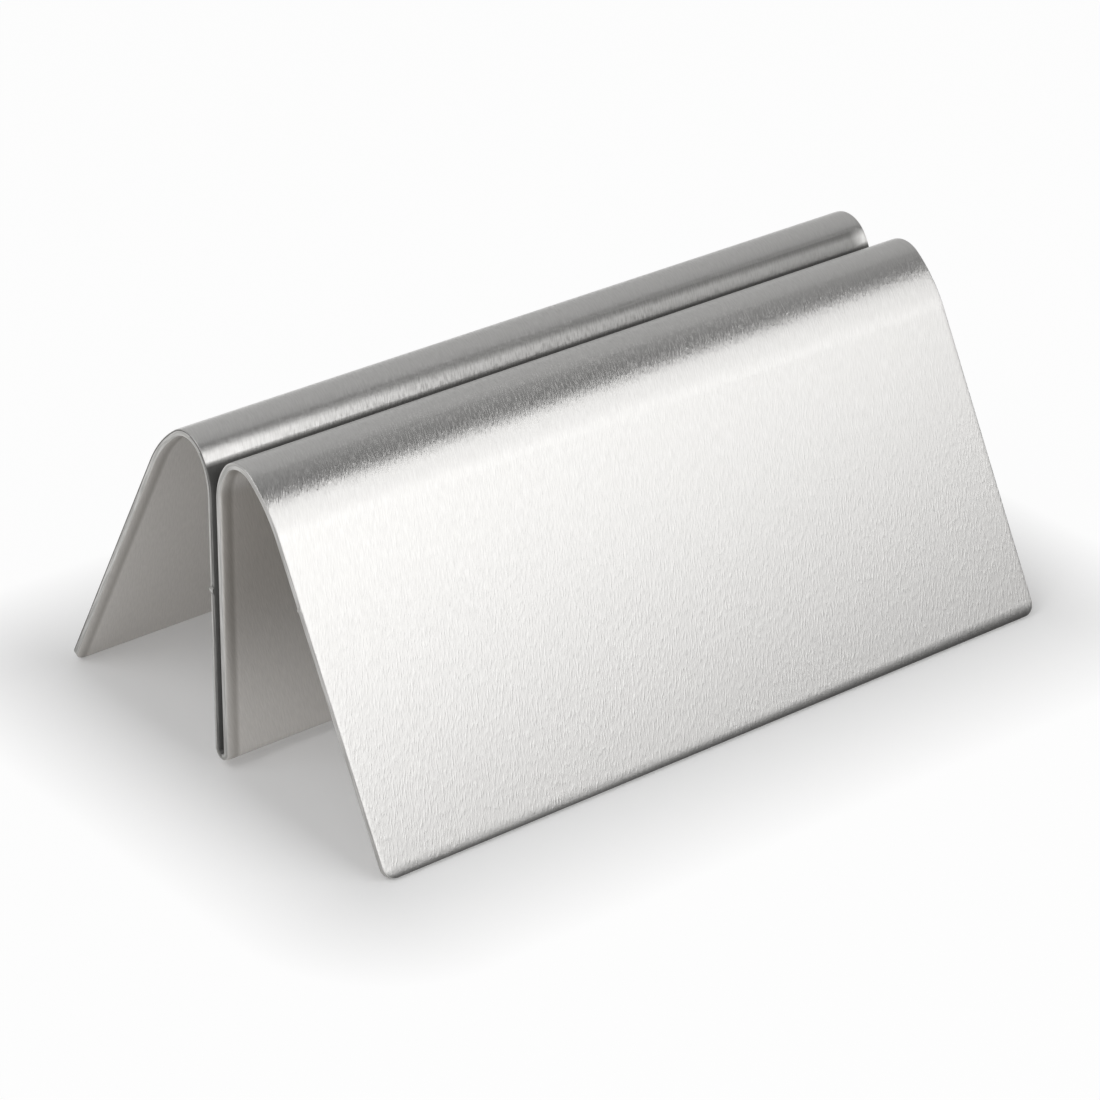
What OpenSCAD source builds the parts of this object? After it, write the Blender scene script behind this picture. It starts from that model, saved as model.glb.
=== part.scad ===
// Place card holder, folded from one strip of brushed sheet steel.
// Two ridges run along X with a card slot between them, and a leg leans out from each ridge.
// The table is z = 0, the front leg faces -Y, and the slot lies on the XZ plane.

/* [Sheet] */
// Length of the strip along the ridges
sheet_l = 75; // [40:1:150]
// Thickness of the sheet
sheet_t = 0.7; // [0.5:0.05:1.2]

/* [Stance] */
// Height of the ridges above the table
holder_h = 31; // [24:0.5:60]
// Space between the table and the fold under the slot
fold_lift = 0.7; // [0.2:0.1:2]
// Lean of each leg from upright, in degrees
leg_lean = 29; // [15:1:40]
// Radius of the free corners of each leg
corner_r = 1.2; // [0.5:0.1:5]

/* [Card slot] */
// Width of the slot between its two walls
slot_gap = 0.6; // [0.3:0.05:1.5]
// How far the rear half springs back about the fold, in degrees
slot_flex = 2; // [0.5:0.5:4]
// Further turn that the two parts of the fold stay clear of each other, in degrees
flex_clear = 0.2; // [0.1:0.1:0.5]

/* [Ridges] */
// Outside radius of the throat, where a slot wall turns into its ridge
throat_r = 6; // [4:0.1:9]
// Turn of the throat, in degrees
throat_turn = 38; // [20:1:60]
// Outside radius of the crown, on top of the ridge
crown_r = 3; // [2:0.1:5]
// Outside radius of the shoulder, where the ridge eases into its leg
shoulder_r = 13; // [6:0.5:20]
// Turn of the shoulder, in degrees
shoulder_turn = 26; // [10:1:40]

/* [Hidden] */
$fn = 96;
micron = 0.001;
half_turn = 180;
quarter_turn = 90;

// Angles of a bend are taken about its own axis, from straight back (+Y) towards straight up
shoulder_from = leg_lean;
crown_from = shoulder_from + shoulder_turn;
throat_from = half_turn - throat_turn;
crown_turn = throat_from - crown_from;

// Axes of the bends of the rear half, as [y, z]: each next bend is tangent to the one before it
function toward(angle) = [cos(angle), sin(angle)];
throat_axis_y = slot_gap / 2 + throat_r;
crown_axis = [throat_axis_y + (throat_r - crown_r) * cos(throat_from), holder_h - crown_r];
throat_axis = crown_axis - (throat_r - crown_r) * toward(throat_from);
shoulder_axis = crown_axis - (shoulder_r - crown_r) * toward(crown_from);

// The fold lies under the slot, the walls stand on its two ends, and it flexes at its lowest line
fold_r = slot_gap / 2 + sheet_t;
fold_axis = [0, fold_lift + fold_r];
fold_lowest = half_turn + quarter_turn;
flex_gap = slot_flex + flex_clear;
wall_h = throat_axis.y - fold_axis.y;

// The outer face of a leg runs from its shoulder to its foot, and its inner edge stands on the table
leg_top = shoulder_axis + shoulder_r * toward(leg_lean);
foot_z = sheet_t * sin(leg_lean);
leg_l = (leg_top.y - foot_z) / cos(leg_lean);
foot_y = leg_top.x + leg_l * sin(leg_lean);

// An axis is placed to the nearest micron, then by what is left over, so that bends meet on one face
function to_micron(place) = [for (c = place) round(c / micron) * micron];

// A bend of the sheet about an axis along X, with its outside radius, first angle and turn
module bend(axis, radius, from, turn) {
    near = to_micron(axis);
    rest = axis - near;
    translate([0, near.x, near.y])
        translate([0, rest.x, rest.y])
            rotate([quarter_turn, 0, quarter_turn])
                rotate_extrude(angle = turn, start = from)
                    translate([radius - sheet_t, -sheet_l / 2])
                        square([sheet_t, sheet_l]);
}

// Flat outline of a leg, from its foot up, with its two free corners rounded
module leg_outline() {
    translate([-sheet_l / 2, corner_r])
        square([sheet_l, leg_l - corner_r]);
    translate([corner_r - sheet_l / 2, 0])
        square([sheet_l - 2 * corner_r, corner_r]);
    for (side = [-1, 1])
        translate([side * (sheet_l / 2 - corner_r), corner_r])
            circle(r = corner_r);
}

// Leg of the rear half, set on its foot and leaning forward to its ridge
module leg() {
    translate([0, foot_y, foot_z])
        rotate([quarter_turn + leg_lean, 0, 0])
            linear_extrude(height = sheet_t)
                leg_outline();
}

// Ridge of the rear half: throat, crown and shoulder in one run
module ridge() {
    union() {
        bend(throat_axis, throat_r, throat_from, throat_turn);
        bend(crown_axis, crown_r, crown_from, crown_turn);
        bend(shoulder_axis, shoulder_r, shoulder_from, shoulder_turn);
    }
}

// Slot wall of the rear half, upright from the fold to the throat
module slot_wall() {
    translate([-sheet_l / 2, slot_gap / 2, fold_axis.y])
        cube([sheet_l, sheet_t, wall_h]);
}

// Half of the fold, from its lowest line up to the rear wall, short by its share of the flex
module fold() {
    bend(fold_axis, fold_r, fold_lowest + flex_gap / 2, quarter_turn - flex_gap / 2);
}

// The front half mirrors the rear half across the slot
module to_front() {
    mirror([0, 1, 0])
        children();
}

module front_leg() {
    color("whitesmoke")
        to_front()
            leg();
}

module front_ridge() {
    color("darkgray")
        to_front()
            ridge();
}

module front_slot_wall() {
    color("silver")
        to_front()
            slot_wall();
}

module front_fold() {
    color("gray")
        to_front()
            fold();
}

module rear_fold() {
    color("gray")
        fold();
}

module rear_slot_wall() {
    color("silver")
        slot_wall();
}

module rear_ridge() {
    color("darkgray")
        ridge();
}

module rear_leg() {
    color("gainsboro")
        leg();
}

front_leg();
front_ridge();
front_slot_wall();
front_fold();
rear_fold();
rear_slot_wall();
rear_ridge();
rear_leg();
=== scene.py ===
import math

import bpy
from mathutils import Euler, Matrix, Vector


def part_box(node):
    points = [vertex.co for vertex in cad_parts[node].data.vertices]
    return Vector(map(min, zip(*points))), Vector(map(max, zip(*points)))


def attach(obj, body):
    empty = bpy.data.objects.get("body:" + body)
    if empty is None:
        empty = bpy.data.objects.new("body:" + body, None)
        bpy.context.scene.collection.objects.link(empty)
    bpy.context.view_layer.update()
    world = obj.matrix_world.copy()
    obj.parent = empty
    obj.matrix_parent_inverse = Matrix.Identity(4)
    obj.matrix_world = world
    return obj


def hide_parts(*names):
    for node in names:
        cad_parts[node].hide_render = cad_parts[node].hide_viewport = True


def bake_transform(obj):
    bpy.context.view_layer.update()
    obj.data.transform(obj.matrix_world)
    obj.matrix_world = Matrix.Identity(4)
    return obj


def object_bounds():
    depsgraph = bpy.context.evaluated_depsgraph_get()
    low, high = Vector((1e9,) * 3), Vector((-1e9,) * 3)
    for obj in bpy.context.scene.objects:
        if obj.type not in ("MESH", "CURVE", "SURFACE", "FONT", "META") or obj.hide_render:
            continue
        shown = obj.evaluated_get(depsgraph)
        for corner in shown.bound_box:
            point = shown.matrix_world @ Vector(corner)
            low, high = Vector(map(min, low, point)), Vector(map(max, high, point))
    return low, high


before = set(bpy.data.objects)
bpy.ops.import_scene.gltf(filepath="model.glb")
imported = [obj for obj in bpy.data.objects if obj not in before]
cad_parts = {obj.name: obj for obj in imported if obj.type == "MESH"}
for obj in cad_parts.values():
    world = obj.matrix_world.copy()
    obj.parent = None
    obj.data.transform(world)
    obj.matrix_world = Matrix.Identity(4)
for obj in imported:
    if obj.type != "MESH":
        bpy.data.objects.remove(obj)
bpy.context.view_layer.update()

# The fold is the tight U bend at the foot of the card slot, and the spring that lets the slot open.
# The whole holder is one strip of brushed stainless sheet, and this bend joins its front and rear halves.
# Every other stretch of the strip is walked from the lowest line of this bend, up and over to the leg's foot.
mm = 0.001
wall_low, wall_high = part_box("rear_slot_wall")
strip_half = wall_high.x / mm
slot_half = wall_low.y / mm
sheet = (wall_high.y - wall_low.y) / mm
wall_foot = wall_low.z / mm
wall_head = wall_high.z / mm

fold_turn = 90
fold_rows = 12
fold_lowest = (0.0, wall_foot - slot_half, 0.0, 0.0)


def bend(start, radius, turn, rows):
    """Stations round a bend, as y, z, heading and run.
    A left turn has the show face on its inside, and a right turn on its outside."""
    y, z, heading, run = start
    hand = math.copysign(1, turn)
    centre_y = y - hand * radius * math.sin(heading)
    centre_z = z + hand * radius * math.cos(heading)
    stations = []
    for row in range(rows + 1):
        swept = math.radians(turn) * row / rows
        now = heading + swept
        at_y = centre_y + hand * radius * math.sin(now)
        at_z = centre_z - hand * radius * math.cos(now)
        stations.append((at_y, at_z, now, run + radius * abs(swept)))
    return stations


def straight(start, lengths):
    """Stations along a flat stretch, at these lengths from its start."""
    y, z, heading, run = start
    return [
        (y + length * math.cos(heading), z + length * math.sin(heading), heading, run + length)
        for length in lengths
    ]


corner_r = 1.2
side_roll = ((0.45, 0), (0.30, 1), (0.15, 3), (0.03, 10))
foot_roll = ((1.15, 0), (0.75, 1.2), (0.35, 3.5), (0.03, 8))
under_roll = ((0.90, 0), (0.60, 3), (0.25, 6), (0.03, 20))
nick = 0.05
roll_steps = 4
nick_steps = 4
cut_steps = 5


def roll_over(knots):
    """From a flat face over its soft roll to the cut edge: inset from the edge, depth, and tilt of the face.
    The knots give the roll's slope in degrees at a few insets, and a small nick radius ends it."""
    inset = knots[0][0]
    depth = 0.0
    points = [(corner_r, depth, 0.0), (inset, depth, 0.0)]
    for (inset_a, slope_a), (inset_b, slope_b) in zip(knots, knots[1:]):
        rise_a = math.tan(math.radians(slope_a))
        rise_b = math.tan(math.radians(slope_b))
        for step in range(1, roll_steps + 1):
            part = step / roll_steps
            run = part * (inset_a - inset_b)
            fall = run * (rise_a + (rise_b - rise_a) * part / 2)
            points.append((inset_a - run, depth + fall, math.atan(rise_a + (rise_b - rise_a) * part)))
        depth = points[-1][1]
    inset, depth, slope = points[-1]
    for step in range(1, nick_steps + 1):
        tilt = slope + (math.pi / 2 - slope) * step / nick_steps
        part = (math.sin(tilt) - math.sin(slope)) / (1 - math.sin(slope))
        points.append((inset * (1 - part), depth + nick * (math.cos(slope) - math.cos(tilt)), tilt))
    return points


def edge_profile(side_share):
    """Round a cut edge from the show face to the underside: inset, depth, and the face's lean out and up.
    The share is 1 on the sides of the strip, 0 along a foot, and between them round a corner."""
    show_roll = [
        (foot[0] + (edge[0] - foot[0]) * side_share, foot[1] + (edge[1] - foot[1]) * side_share)
        for foot, edge in zip(foot_roll, side_roll)
    ]
    show = [(inset, depth, math.sin(tilt), math.cos(tilt)) for inset, depth, tilt in roll_over(show_roll)]
    under = [
        (inset, sheet - depth, math.sin(tilt), -math.cos(tilt))
        for inset, depth, tilt in roll_over(under_roll)
    ]
    under.reverse()
    cut_from = show[-1][1]
    cut_to = under[0][1]
    cut = [
        (0.0, cut_from + (cut_to - cut_from) * step / cut_steps, 1.0, 0.0)
        for step in range(1, cut_steps)
    ]
    return show, cut, under


columns = 30
corner_steps = 8
under_shift = 100
slot_torn_to = 29
slot_torn = 3
rise_torn_to = 31
rise_torn = 2
far_torn = 1


def torn_steps(side, run):
    """How many steps of the cut are torn dark: none on the front half, and on the rear half the most
    as far as the slot's mouth, fewer up the rise of the crown, and the least from there to the foot."""
    if side < 0:
        return 0
    if run < slot_torn_to:
        return slot_torn
    if run < rise_torn_to:
        return rise_torn
    return far_torn


faces_left = -0.99
torn_finish = 1
smooth_finish = 2


def press(name, stations, side, free_end=False, nubs=()):
    """Closed mesh of one stretch of the strip, with rolled edges and, at a free end, two round corners.
    Side is 1 for the rear half and -1 for the front half, which mirrors it across the slot."""
    show, cut, under = edge_profile(1)
    first_under = len(show) + len(cut)
    first_cut = len(show) - 2
    last_smooth = first_under + nick_steps - 1
    rings = first_under + len(under)
    profiles, unrolled = {}, {}

    def profile_of(post):
        share = round(post[1].x ** 2, 6)
        if share not in profiles:
            profile = sum(edge_profile(share), [])
            reach = [0.0]
            for last, this in zip(profile, profile[1:]):
                reach.append(reach[-1] + math.hypot(this[0] - last[0], this[1] - last[1]))
            profiles[share] = profile
            unrolled[share] = reach
        return profiles[share], unrolled[share]

    places, leans, numbers = [], [], {}
    faces, maps, finishes, caps = [], [], [], []

    def vertex(place, lean):
        key = tuple(round(value, 5) for value in place)
        if key not in numbers:
            numbers[key] = len(places)
            places.append(place)
            leans.append(lean)
        return numbers[key]

    def face(corners, chart, finish=0, cap=None):
        kept = [k for k in range(len(corners)) if corners[k] != corners[k - 1]]
        if len(kept) < 3:
            return
        ring = [corners[k] for k in kept]
        ring_chart = [chart[k] for k in kept]
        wanted = cap or sum((leans[v] for v in ring), Vector())
        across = (places[ring[1]] - places[ring[0]]).cross(places[ring[2]] - places[ring[1]])
        if across.dot(wanted) < 0:
            ring.reverse()
            ring_chart.reverse()
        faces.append(ring)
        maps.append(ring_chart)
        finishes.append(finish)
        caps.append(cap)

    def frame_of(station):
        y, z, heading, run = station
        at = Vector((0, side * y, z))
        along = Vector((0, side * math.cos(heading), math.sin(heading)))
        up = Vector((0, -side * math.sin(heading), math.cos(heading)))
        return at, along, up, run

    inner = strip_half - corner_r
    xs = [-inner + 2 * inner * column / columns for column in range(columns + 1)]
    grid = [frame_of(station) for station in stations]
    x_way = Vector((1, 0, 0))

    # Both flat faces
    for at_a, at_b in zip(grid, grid[1:]):
        for x_a, x_b in zip(xs, xs[1:]):
            spots = [(at_a, x_a), (at_a, x_b), (at_b, x_b), (at_b, x_a)]
            top = [vertex(g[0] + x_way * x, g[2]) for g, x in spots]
            face(top, [(x, g[3]) for g, x in spots])
            bottom = [vertex(g[0] + x_way * x - g[2] * sheet, -g[2]) for g, x in spots]
            face(bottom, [(x, g[3] + under_shift) for g, x in spots])

    # Posts stand round the edge: base, way out, way up, place on the strip, and way out over the strip
    left = [(g[0] - x_way * inner, -x_way, g[2], (-inner, g[3]), (-1, 0)) for g in grid]
    right = [(g[0] + x_way * inner, x_way, g[2], (inner, g[3]), (1, 0)) for g in grid]
    if free_end:
        at, along, up, run = grid[-1]
        left_corner, right_corner = [], []
        for hand, corner in ((-1, left_corner), (1, right_corner)):
            for step in range(corner_steps + 1):
                turn = math.pi / 2 * step / corner_steps
                way = (hand * math.cos(turn), math.sin(turn))
                out = x_way * way[0] + along * way[1]
                corner.append((at + x_way * hand * inner, out, up, (hand * inner, run), way))
        foot = [(at + x_way * x, along, up, (x, run), (0, 1)) for x in xs]
        runs = [left + left_corner[1:] + foot[1:] + right_corner[::-1][1:] + right[::-1][1:]]
    else:
        runs = [left, right]

    def edge_vertex(post, k):
        base, out, up, (_, v), _ = post
        inset, depth, lean_out, lean_up = profile_of(post)[0][k]
        place = base + out * (corner_r - inset) - up * depth
        lean = out * lean_out + up * lean_up
        if inset < nick / 2 and out.x < faces_left:
            along = out.cross(up) * side
            for nub_run, nub_height, nub_width in nubs:
                swell = nub_height * math.exp(-(((v - nub_run) / nub_width) ** 2))
                slope = 2 * swell * (v - nub_run) / nub_width**2
                place = place + out * swell
                lean = (lean + along * slope * lean_out).normalized()
        return vertex(place, lean)

    def edge_chart(post, k, beneath):
        (u, v), (out_u, out_v) = post[3:]
        profile, lengths = profile_of(post)
        reach = corner_r - profile[k][0] if beneath else lengths[k]
        shift = under_shift if beneath else 0
        return (u + out_u * reach, v + out_v * reach + shift)

    for posts in runs:
        for post_a, post_b in zip(posts, posts[1:]):
            for k in range(rings - 1):
                beneath = k >= first_under
                spots = [(post_a, k), (post_a, k + 1), (post_b, k + 1), (post_b, k)]
                ring = [edge_vertex(post, n) for post, n in spots]
                chart = [edge_chart(post, n, beneath) for post, n in spots]
                at_run = post_a[3][1]
                torn_count = torn_steps(side, at_run)
                first_smooth = len(show) - 1 + torn_count if torn_count else first_cut
                torn = first_cut <= k < first_smooth
                smooth = first_smooth <= k < last_smooth
                if post_a[1].x < faces_left and any(abs(at_run - nub[0]) < nub[2] for nub in nubs):
                    smooth = smooth or torn
                    torn = False
                face(ring, chart, finish=torn_finish if torn else smooth_finish if smooth else 0)

    # The ends where the next stretch of the strip goes on
    seams = [(0, -1)] if free_end else [(0, -1), (-1, 1)]
    for row, hand in seams:
        at, along, up, _ = grid[row]
        for x_a, x_b in zip(xs, xs[1:]):
            spots = [(x_a, 0), (x_b, 0), (x_b, sheet), (x_a, sheet)]
            ring = [vertex(at + x_way * x - up * depth, up) for x, depth in spots]
            face(ring, spots, cap=along * hand)
        for posts in (left, right):
            ring = [edge_vertex(posts[row], k) for k in range(rings)]
            face(ring, [(n, 0) for n in range(len(ring))], cap=along * hand)

    mesh = bpy.data.meshes.new(name)
    mesh.from_pydata([place * mm for place in places], [], faces)
    strip_map = mesh.uv_layers.new(name="strip")
    strip_map.data.foreach_set("uv", [value for chart in maps for u, v in chart for value in (u, side * v)])
    mesh.polygons.foreach_set("material_index", finishes)
    mesh.polygons.foreach_set("use_smooth", [cap is None for cap in caps])
    corner_leans = []
    for ring, cap in zip(faces, caps):
        corner_leans += [cap or leans[number] for number in ring]
    mesh.normals_split_custom_set(corner_leans)
    piece = bpy.data.objects.new(name, mesh)
    bpy.context.scene.collection.objects.link(piece)
    return piece


brush_turn = math.radians(-12.5)


def strokes(tree, across, along, seed, detail=2.0, turn=0.0):
    """Noise drawn out along the run of the strip, or at a turn from it:
    a stroke about every so many mm across, each about so many mm long."""
    strip_map = tree.nodes.new("ShaderNodeUVMap")
    strip_map.uv_map = "strip"
    stretch = tree.nodes.new("ShaderNodeMapping")
    stretch.vector_type = "TEXTURE"
    stretch.inputs["Location"].default_value = (seed, 0, 0)
    stretch.inputs["Rotation"].default_value = (0, 0, turn)
    stretch.inputs["Scale"].default_value = (across, along, 1)
    tree.links.new(strip_map.outputs["UV"], stretch.inputs["Vector"])
    noise = tree.nodes.new("ShaderNodeTexNoise")
    noise.noise_dimensions = "2D"
    noise.inputs["Scale"].default_value = 1.0
    noise.inputs["Detail"].default_value = detail
    tree.links.new(stretch.outputs["Vector"], noise.inputs["Vector"])
    return noise.outputs[0]


def ramp(tree, source, span, levels):
    """Carries a value from a span over to a pair of levels, and holds it level beyond the span."""
    spread = tree.nodes.new("ShaderNodeMapRange")
    for name, value in zip(("From Min", "From Max", "To Min", "To Max"), span + levels):
        spread.inputs[name].default_value = value
    tree.links.new(source, spread.inputs["Value"])
    return spread.outputs["Result"]


def figure(tree, operation, *terms):
    """One step of arithmetic in a material: each term is a number or the output of another node."""
    node = tree.nodes.new("ShaderNodeMath")
    node.operation = operation
    for socket, term in zip(node.inputs, terms):
        if isinstance(term, (int, float)):
            socket.default_value = term
        else:
            tree.links.new(term, socket)
    return node.outputs["Value"]


def tint(tree, share, colour, over, blend="MIX"):
    """Lays a colour over another by a share: the lower one is a colour or the output of another node."""
    node = tree.nodes.new("ShaderNodeMix")
    node.data_type = "RGBA"
    node.blend_type = blend
    tree.links.new(share, node.inputs["Factor"])
    if isinstance(colour, tuple):
        node.inputs["A"].default_value = colour
    else:
        tree.links.new(colour, node.inputs["A"])
    node.inputs["B"].default_value = over
    return node.outputs["Result"]


steel_dark = (0.695, 0.687, 0.673, 1)
steel_light = (0.750, 0.742, 0.728, 1)
# Painted shade for the slot and the throats at its mouth
slot_painted_shade = (0.23, 0.228, 0.221, 1)
under_tint = (1, 0.98, 0.96, 1)
# Painted shade along both side borders of the underside
border_painted_shade = (0.68, 0.672, 0.66, 1)
# Painted shade along the foot of each leg
foot_painted_shade = (0.11, 0.109, 0.106, 1)
face_rough = (0.299, 0.308)
dull_rough = 0.36
grain_depth = 0.0038
foot_width = (0.5, 1.35)
stroke_span = (0.3, 0.7)

# Where the finish and the painted shade change along the strip, in mm from the lowest line of the fold
slot_shade_ends = (27.6, 28.12)
crease_starts = (28.65, 29.1)
mouth_ends = (29.3, 29.8)
hairs_end = (35, 36.3)
ridge_grain_ends = (35.6, 37.2)
leg_grain_grows = (44, 56)
foot_run = 68.85

# Where the finish and the painted shade change across the strip, in mm from its middle
mouth_left = (-34, -8)
mouth_right = (-8, strip_half)
right_end = (strip_half - 1.8, strip_half - 0.4)
border_starts = (strip_half - 1.35, strip_half - 0.95)
border_ends = (strip_half - 0.75, strip_half - 0.05)
foot_widens = (-15, strip_half)
hairs_thin = (14, 34)


def brushed_steel():
    """Stainless sheet with a fine brushed grain that runs over the ridges and down the legs."""
    steel = bpy.data.materials.new("brushed_steel")
    steel.use_nodes = True
    tree = steel.node_tree
    shader = tree.nodes["Principled BSDF"]
    shader.inputs["Metallic"].default_value = 1.0
    shader.inputs["Anisotropic"].default_value = 0.85

    way = tree.nodes.new("ShaderNodeTangent")
    way.direction_type = "UV_MAP"
    way.uv_map = "strip"
    tree.links.new(way.outputs["Tangent"], shader.inputs["Tangent"])

    fine = strokes(tree, across=0.13, along=1.1, seed=3.0, turn=brush_turn)
    broad = strokes(tree, across=0.5, along=6.0, seed=11.0, turn=brush_turn)
    dabs = strokes(tree, across=0.16, along=0.7, seed=23.0, detail=1.0, turn=brush_turn)
    hair = strokes(tree, across=0.12, along=0.7, seed=31.0, detail=0.0, turn=brush_turn)

    # Where on the strip: mm across it, mm out from its middle, mm along it from the fold, and which face
    strip_map = tree.nodes.new("ShaderNodeUVMap")
    strip_map.uv_map = "strip"
    spot = tree.nodes.new("ShaderNodeSeparateXYZ")
    tree.links.new(strip_map.outputs["UV"], spot.inputs["Vector"])
    across = spot.outputs["X"]
    middle = figure(tree, "ABSOLUTE", across)
    run = figure(tree, "ABSOLUTE", spot.outputs["Y"])
    underside = ramp(tree, run, (under_shift - 2, under_shift - 1), (0, 1))

    # Painted shade darkens the steel in the slot, and in the throats at the slot's mouth it grows darker to
    # the right; the same mask also makes the steel rougher there
    left_fade = ramp(tree, across, mouth_left, (0.02, 0.34))
    right_fade = ramp(tree, across, mouth_right, (0, 0.30))
    fade = figure(tree, "ADD", left_fade, right_fade)
    end_clear = ramp(tree, across, right_end, (1, 0.1))
    crease = figure(tree, "MULTIPLY_ADD", end_clear, fade, ramp(tree, run, crease_starts, (0, 0.24)))
    mouth = figure(tree, "MULTIPLY", ramp(tree, run, mouth_ends, (1, 0)), crease)
    slot_shade_and_dull = figure(tree, "MAXIMUM", ramp(tree, run, slot_shade_ends, (1, 0)), mouth)
    tone = tint(tree, ramp(tree, fine, stroke_span, (0, 1)), steel_dark, steel_light)
    shaded_tone = tint(tree, slot_shade_and_dull, tone, slot_painted_shade)

    # The underside is a little warmer, with a border of painted shade along both sides of the strip
    inside = tint(tree, underside, shaded_tone, under_tint, blend="MULTIPLY")
    border_in = ramp(tree, middle, border_starts, (0, 1))
    border_out = ramp(tree, middle, border_ends, (1, 0.15))
    border_share = figure(tree, "MULTIPLY", underside, figure(tree, "MULTIPLY", border_in, border_out))
    border_shaded = tint(tree, border_share, inside, border_painted_shade, blend="MULTIPLY")

    # The foot of each leg is darkened by painted shade in a band that widens to the right
    from_foot = figure(tree, "ABSOLUTE", figure(tree, "SUBTRACT", run, foot_run))
    foot_band = ramp(tree, across, foot_widens, foot_width)
    foot_share = ramp(tree, figure(tree, "DIVIDE", from_foot, foot_band), (0, 1), (1, 0))
    tree.links.new(tint(tree, foot_share, border_shaded, foot_painted_shade), shader.inputs["Base Color"])

    # Light hairs lie over the ridges, strongest near the middle of the strip
    rough = figure(tree, "MULTIPLY_ADD", slot_shade_and_dull, dull_rough, ramp(tree, broad, stroke_span, face_rough))
    hair_long = ramp(tree, run, hairs_end, (1, 0.1))
    hair_wide = ramp(tree, middle, hairs_thin, (0.17, 0.07))
    rubbed = figure(tree, "MULTIPLY", hair_wide, hair_long)
    hairs = figure(tree, "MULTIPLY_ADD", ramp(tree, hair, (0.42, 0.72), (0, 1)), rubbed, rough)
    tree.links.new(hairs, shader.inputs["Roughness"])

    # The grain is deep over the ridges, shallow at the top of the legs and deeper again below
    grain = figure(tree, "MULTIPLY_ADD", fine, 0.35, ramp(tree, dabs, (0.48, 0.75), (0, 1)))
    ridge_deep = ramp(tree, run, ridge_grain_ends, (3.15, 1))
    leg_deep = ramp(tree, run, leg_grain_grows, (0.7, 1.1))
    lift = figure(tree, "MULTIPLY", grain, figure(tree, "MULTIPLY", ridge_deep, leg_deep))
    bump = tree.nodes.new("ShaderNodeBump")
    bump.inputs["Strength"].default_value = 1.0
    bump.inputs["Distance"].default_value = grain_depth * mm
    tree.links.new(lift, bump.inputs["Height"])
    tree.links.new(bump.outputs["Normal"], shader.inputs["Normal"])
    return steel


torn_dark = (0.13, 0.128, 0.123, 1)
torn_light = (0.22, 0.217, 0.21, 1)
smooth_dark = (0.42, 0.415, 0.40, 1)
smooth_light = (0.56, 0.555, 0.54, 1)
cut_rough = (0.5, 0.36)
drag_depth = 0.02


def cut_edge_steel(name, dark, light):
    """One band of the sheared edge of the same sheet, with fine drag marks through it."""
    steel = bpy.data.materials.new(name)
    steel.use_nodes = True
    tree = steel.node_tree
    shader = tree.nodes["Principled BSDF"]
    shader.inputs["Metallic"].default_value = 1.0

    drag = strokes(tree, across=0.5, along=0.12, seed=5.0)
    patch = strokes(tree, across=0.2, along=3.0, seed=17.0)
    tone = tint(tree, ramp(tree, patch, (0.35, 0.65), (0, 1)), dark, light)
    tree.links.new(tone, shader.inputs["Base Color"])
    tree.links.new(ramp(tree, patch, stroke_span, cut_rough), shader.inputs["Roughness"])
    bump = tree.nodes.new("ShaderNodeBump")
    bump.inputs["Strength"].default_value = 0.5
    bump.inputs["Distance"].default_value = drag_depth * mm
    tree.links.new(drag, bump.inputs["Height"])
    tree.links.new(bump.outputs["Normal"], shader.inputs["Normal"])
    return steel


face_steel = brushed_steel()
torn_steel = cut_edge_steel("torn_edge_steel", torn_dark, torn_light)
smooth_steel = cut_edge_steel("smooth_edge_steel", smooth_dark, smooth_light)
strip_steels = (face_steel, torn_steel, smooth_steel)
halves = (("front", -1), ("rear", 1))
fold_stations = bend(fold_lowest, slot_half, fold_turn, fold_rows)
for half, side in halves:
    fold = press(half + "_fold_bend", fold_stations, side)
    for steel in strip_steels:
        fold.data.materials.append(steel)
    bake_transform(fold)
    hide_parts(half + "_fold")

# The slot walls are the two upright panels that a card slides between, flat stretches of the same strip.
# They stand on the ends of the fold, and their cut ends show at both ends of the holder.
# The rear one has a small nub on its left cut end, such as a parting tab leaves.
wall_rows = 12
wall_nub_run = 15.6
wall_nub_height = 0.2
wall_nub_width = 0.3
wall_start = fold_stations[-1]
wall_h = wall_head - wall_foot
nub_reach = 2
nub_rows = 6


def nub_lengths(nub_run, nub_width):
    """Close stations over a nub, so that its swell is smooth."""
    return {nub_run + nub_width * nub_reach * row / nub_rows for row in range(-nub_rows, nub_rows + 1)}


wall_lengths = {wall_h * row / wall_rows for row in range(wall_rows + 1)}
wall_lengths |= nub_lengths(wall_nub_run, wall_nub_width)
wall_stations = straight(wall_start, sorted(wall_lengths))
for half, side in halves:
    nubs = [(wall_start[3] + wall_nub_run, wall_nub_height, wall_nub_width)] if side > 0 else []
    wall = press(half + "_slot_panel", wall_stations, side, nubs=nubs)
    for steel in strip_steels:
        wall.data.materials.append(steel)
    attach(wall, half + "_half")
    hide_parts(half + "_slot_wall")

# The ridges are the two rounded tops, each bent over in one run of three radii from wall to leg.
# The throat eases out of the slot, the crown is the tight top, and the shoulder eases down into the leg.
# The grain of the brushed sheet runs over them at a slight slant.
throat_r = 6.0
throat_turn = 38
throat_rows = 14
crown_r = 3.0
crown_turn = 87
crown_rows = 26
shoulder_r = 13.0
shoulder_turn = 26
shoulder_rows = 16
throat = bend(wall_stations[-1], throat_r, -throat_turn, throat_rows)
crown = bend(throat[-1], crown_r, -crown_turn, crown_rows)
shoulder = bend(crown[-1], shoulder_r, -shoulder_turn, shoulder_rows)
ridge_stations = throat + crown[1:] + shoulder[1:]
for half, side in halves:
    ridge = press(half + "_ridge_bend", ridge_stations, side)
    for steel in strip_steels:
        ridge.data.materials.append(steel)
    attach(ridge, half + "_half")
    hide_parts(half + "_ridge")

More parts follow.
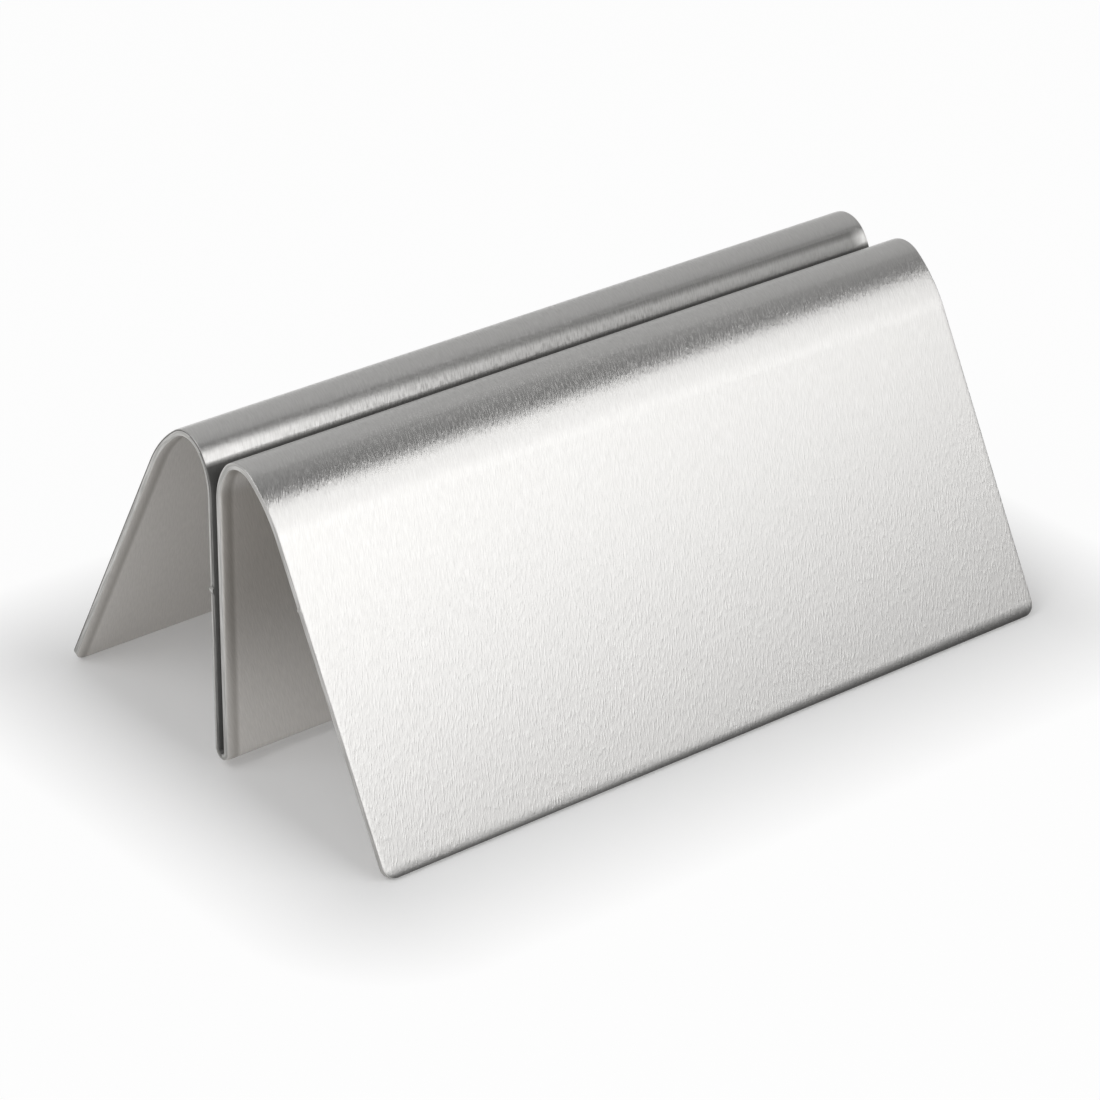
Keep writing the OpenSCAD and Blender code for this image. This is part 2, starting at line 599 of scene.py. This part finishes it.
# The legs are the two flat panels that lean out from the ridges and stand the holder on the table.
# Each is a free end of the brushed strip, with two round corners and a softly rolled foot.
# The front one has a small nub on its left cut end, such as a parting tab leaves.
leg_rows = 16
leg_nub_run = 5.8
leg_nub_height = 0.1
leg_nub_width = 0.18
leg_start = shoulder[-1]
foot_z = sheet * math.sin(leg_start[2] + math.pi / 2)
leg_l = (leg_start[1] - foot_z) / -math.sin(leg_start[2])
leg_flat = leg_l - corner_r
leg_lengths = {leg_flat * row / leg_rows for row in range(leg_rows + 1)}
leg_lengths |= nub_lengths(leg_nub_run, leg_nub_width)
leg_stations = straight(leg_start, sorted(leg_lengths))
for half, side in halves:
    nubs = [(leg_start[3] + leg_nub_run, leg_nub_height, leg_nub_width)] if side < 0 else []
    leg = press(half + "_leg_panel", leg_stations, side, free_end=True, nubs=nubs)
    for steel in strip_steels:
        leg.data.materials.append(steel)
    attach(leg, half + "_half")
    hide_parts(half + "_leg")

# The floor is a plain white ground that the holder stands on, with a low rim far away on every side.
# It is matt, and it keeps the holder's shadow close round the legs and fades to plain white beyond.
floor_half = 4.0
floor_rise = 0.16
floor_shadow = 15 * mm
floor_glows = (0.14, 0.95)
floor_low, floor_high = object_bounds()
floor_mesh = bpy.data.meshes.new("floor")
floor_corners = [(x * floor_half, y * floor_half) for x, y in ((-1, -1), (1, -1), (1, 1), (-1, 1))]
floor_places = [(x, y, floor_low.z + rise) for rise in (0, floor_rise) for x, y in floor_corners]
floor_sides = [(k, (k + 1) % 4, (k + 1) % 4 + 4, k + 4) for k in range(4)]
floor_mesh.from_pydata(floor_places, [], [(0, 1, 2, 3)] + floor_sides)
floor = bpy.data.objects.new("floor", floor_mesh)
bpy.context.scene.collection.objects.link(floor)

floor_white = bpy.data.materials.new("floor_white")
floor_white.use_nodes = True
floor_tree = floor_white.node_tree
floor_tree.nodes.remove(floor_tree.nodes["Principled BSDF"])
floor_matt = floor_tree.nodes.new("ShaderNodeBsdfDiffuse")
floor_matt.inputs["Color"].default_value = (0.97, 0.97, 0.97, 1)
floor_glow = floor_tree.nodes.new("ShaderNodeEmission")
floor_path = floor_tree.nodes.new("ShaderNodeLightPath")
floor_camera = floor_path.outputs["Is Camera Ray"]
floor_mirrored = figure(floor_tree, "MAXIMUM", floor_camera, floor_path.outputs["Is Glossy Ray"])
floor_seen = figure(floor_tree, "MAXIMUM", floor_mirrored, floor_path.outputs["Is Transmission Ray"])
floor_place = floor_tree.nodes.new("ShaderNodeNewGeometry")
floor_even = floor_tree.nodes.new("ShaderNodeVectorMath")
floor_even.operation = "ABSOLUTE"
floor_tree.links.new(floor_place.outputs["Position"], floor_even.inputs[0])
floor_past = floor_tree.nodes.new("ShaderNodeVectorMath")
floor_past.operation = "SUBTRACT"
floor_past.inputs[1].default_value = (floor_high.x, floor_high.y, 0)
floor_tree.links.new(floor_even.outputs["Vector"], floor_past.inputs[0])
floor_outside = floor_tree.nodes.new("ShaderNodeVectorMath")
floor_outside.operation = "MAXIMUM"
floor_outside.inputs[1].default_value = (0, 0, 0)
floor_tree.links.new(floor_past.outputs["Vector"], floor_outside.inputs[0])
floor_flat = floor_tree.nodes.new("ShaderNodeVectorMath")
floor_flat.operation = "MULTIPLY"
floor_flat.inputs[1].default_value = (1, 1, 0)
floor_tree.links.new(floor_outside.outputs["Vector"], floor_flat.inputs[0])
floor_far = floor_tree.nodes.new("ShaderNodeVectorMath")
floor_far.operation = "LENGTH"
floor_tree.links.new(floor_flat.outputs["Vector"], floor_far.inputs[0])
floor_fade = ramp(floor_tree, floor_far.outputs["Value"], (0, floor_shadow), floor_glows)
floor_share = figure(floor_tree, "MULTIPLY", floor_seen, floor_fade)
floor_mix = floor_tree.nodes.new("ShaderNodeMixShader")
floor_tree.links.new(floor_share, floor_mix.inputs["Fac"])
floor_tree.links.new(floor_matt.outputs["BSDF"], floor_mix.inputs[1])
floor_tree.links.new(floor_glow.outputs["Emission"], floor_mix.inputs[2])
floor_tree.links.new(floor_mix.outputs["Shader"], floor_tree.nodes["Material Output"].inputs["Surface"])
floor.data.materials.append(floor_white)

# The studio is a grey room, darkest in front and on the left, with four soft boxes round the holder.
# The front box is what the front leg mirrors, and the low box fills that mirror image towards the foot.
# The left and top boxes light the floor and the cut ends on the left.
room_front = 0.09
room_step = 0.27
room_rise = 0.20
room = bpy.data.worlds.new("room")
room.use_nodes = True
room_tree = room.node_tree
room_way = room_tree.nodes.new("ShaderNodeTexCoord")
room_parts = room_tree.nodes.new("ShaderNodeSeparateXYZ")
room_tree.links.new(room_way.outputs["Generated"], room_parts.inputs["Vector"])
room_levels = (room_front, room_front + room_step)
room_near = ramp(room_tree, room_parts.outputs["Y"], (-0.40, -0.16), room_levels)
room_far = ramp(room_tree, room_parts.outputs["Y"], (-0.16, 0.85), (0, room_rise))
room_level = figure(room_tree, "ADD", room_near, room_far)
room_side = ramp(room_tree, room_parts.outputs["X"], (-0.6, 0.4), (0.6, 1))
room_light = figure(room_tree, "MULTIPLY", room_level, room_side)
room_tree.links.new(room_light, room_tree.nodes["Background"].inputs["Strength"])
room_tree.nodes["Background"].inputs["Color"].default_value = (1, 1, 1, 1)
bpy.context.scene.world = room


def soft_box(name, at, width, height, brightness):
    """Rectangular lamp that faces the holder, its width level, as bright as a white of that strength."""
    lamp = bpy.data.lights.new(name, "AREA")
    lamp.shape = "RECTANGLE"
    lamp.size = width
    lamp.size_y = height
    lamp.energy = math.pi * width * height * brightness
    box = bpy.data.objects.new(name, lamp)
    box.location = at
    box.rotation_euler = (-Vector(at)).to_track_quat("-Z", "Y").to_euler()
    box.visible_camera = False
    bpy.context.scene.collection.objects.link(box)
    return box


front_far = 0.6
front_up = math.radians(37.8)
front_right = 0.317
front_roll = math.radians(13)
front_at = (0, -front_far * math.cos(front_up), front_far * math.sin(front_up))
front_box = soft_box("front_box", front_at, width=0.76, height=0.42, brightness=1.41)
front_box.location.x = front_right
front_box.rotation_euler.rotate_axis("Z", front_roll)
low_up = math.radians(17)
low_right = 0.05
low_roll = math.radians(25)
low_at = (0, -front_far * math.cos(low_up), front_far * math.sin(low_up))
low_box = soft_box("low_box", low_at, width=0.8, height=0.16, brightness=0.57)
low_box.location.x = low_right
low_box.rotation_euler.rotate_axis("Z", low_roll)
left_at = (-0.68, -0.40, 0.52)
soft_box("left_box", left_at, width=1.0, height=0.9, brightness=0.85)
top_at = (-0.60, 0.10, 0.75)
soft_box("top_box", top_at, width=0.7, height=0.7, brightness=1.2)

# The camera stands to the front left, a little above the holder, with a long lens.
# Its place and its turn were found by laying the holder's outline over the photograph.
camera_at = (-0.21120, -0.25835, 0.18876)
camera_turn = (61.693, -0.627, -38.770)
camera_lens = bpy.data.cameras.new("camera")
camera_lens.lens = 136.87
camera_lens.sensor_width = 36
camera_lens.clip_start = 0.01
camera = bpy.data.objects.new("camera", camera_lens)
camera.location = camera_at
camera.rotation_euler = Euler([math.radians(angle) for angle in camera_turn])
bpy.context.scene.collection.objects.link(camera)
bpy.context.scene.camera = camera
bpy.context.scene.view_settings.view_transform = "Standard"
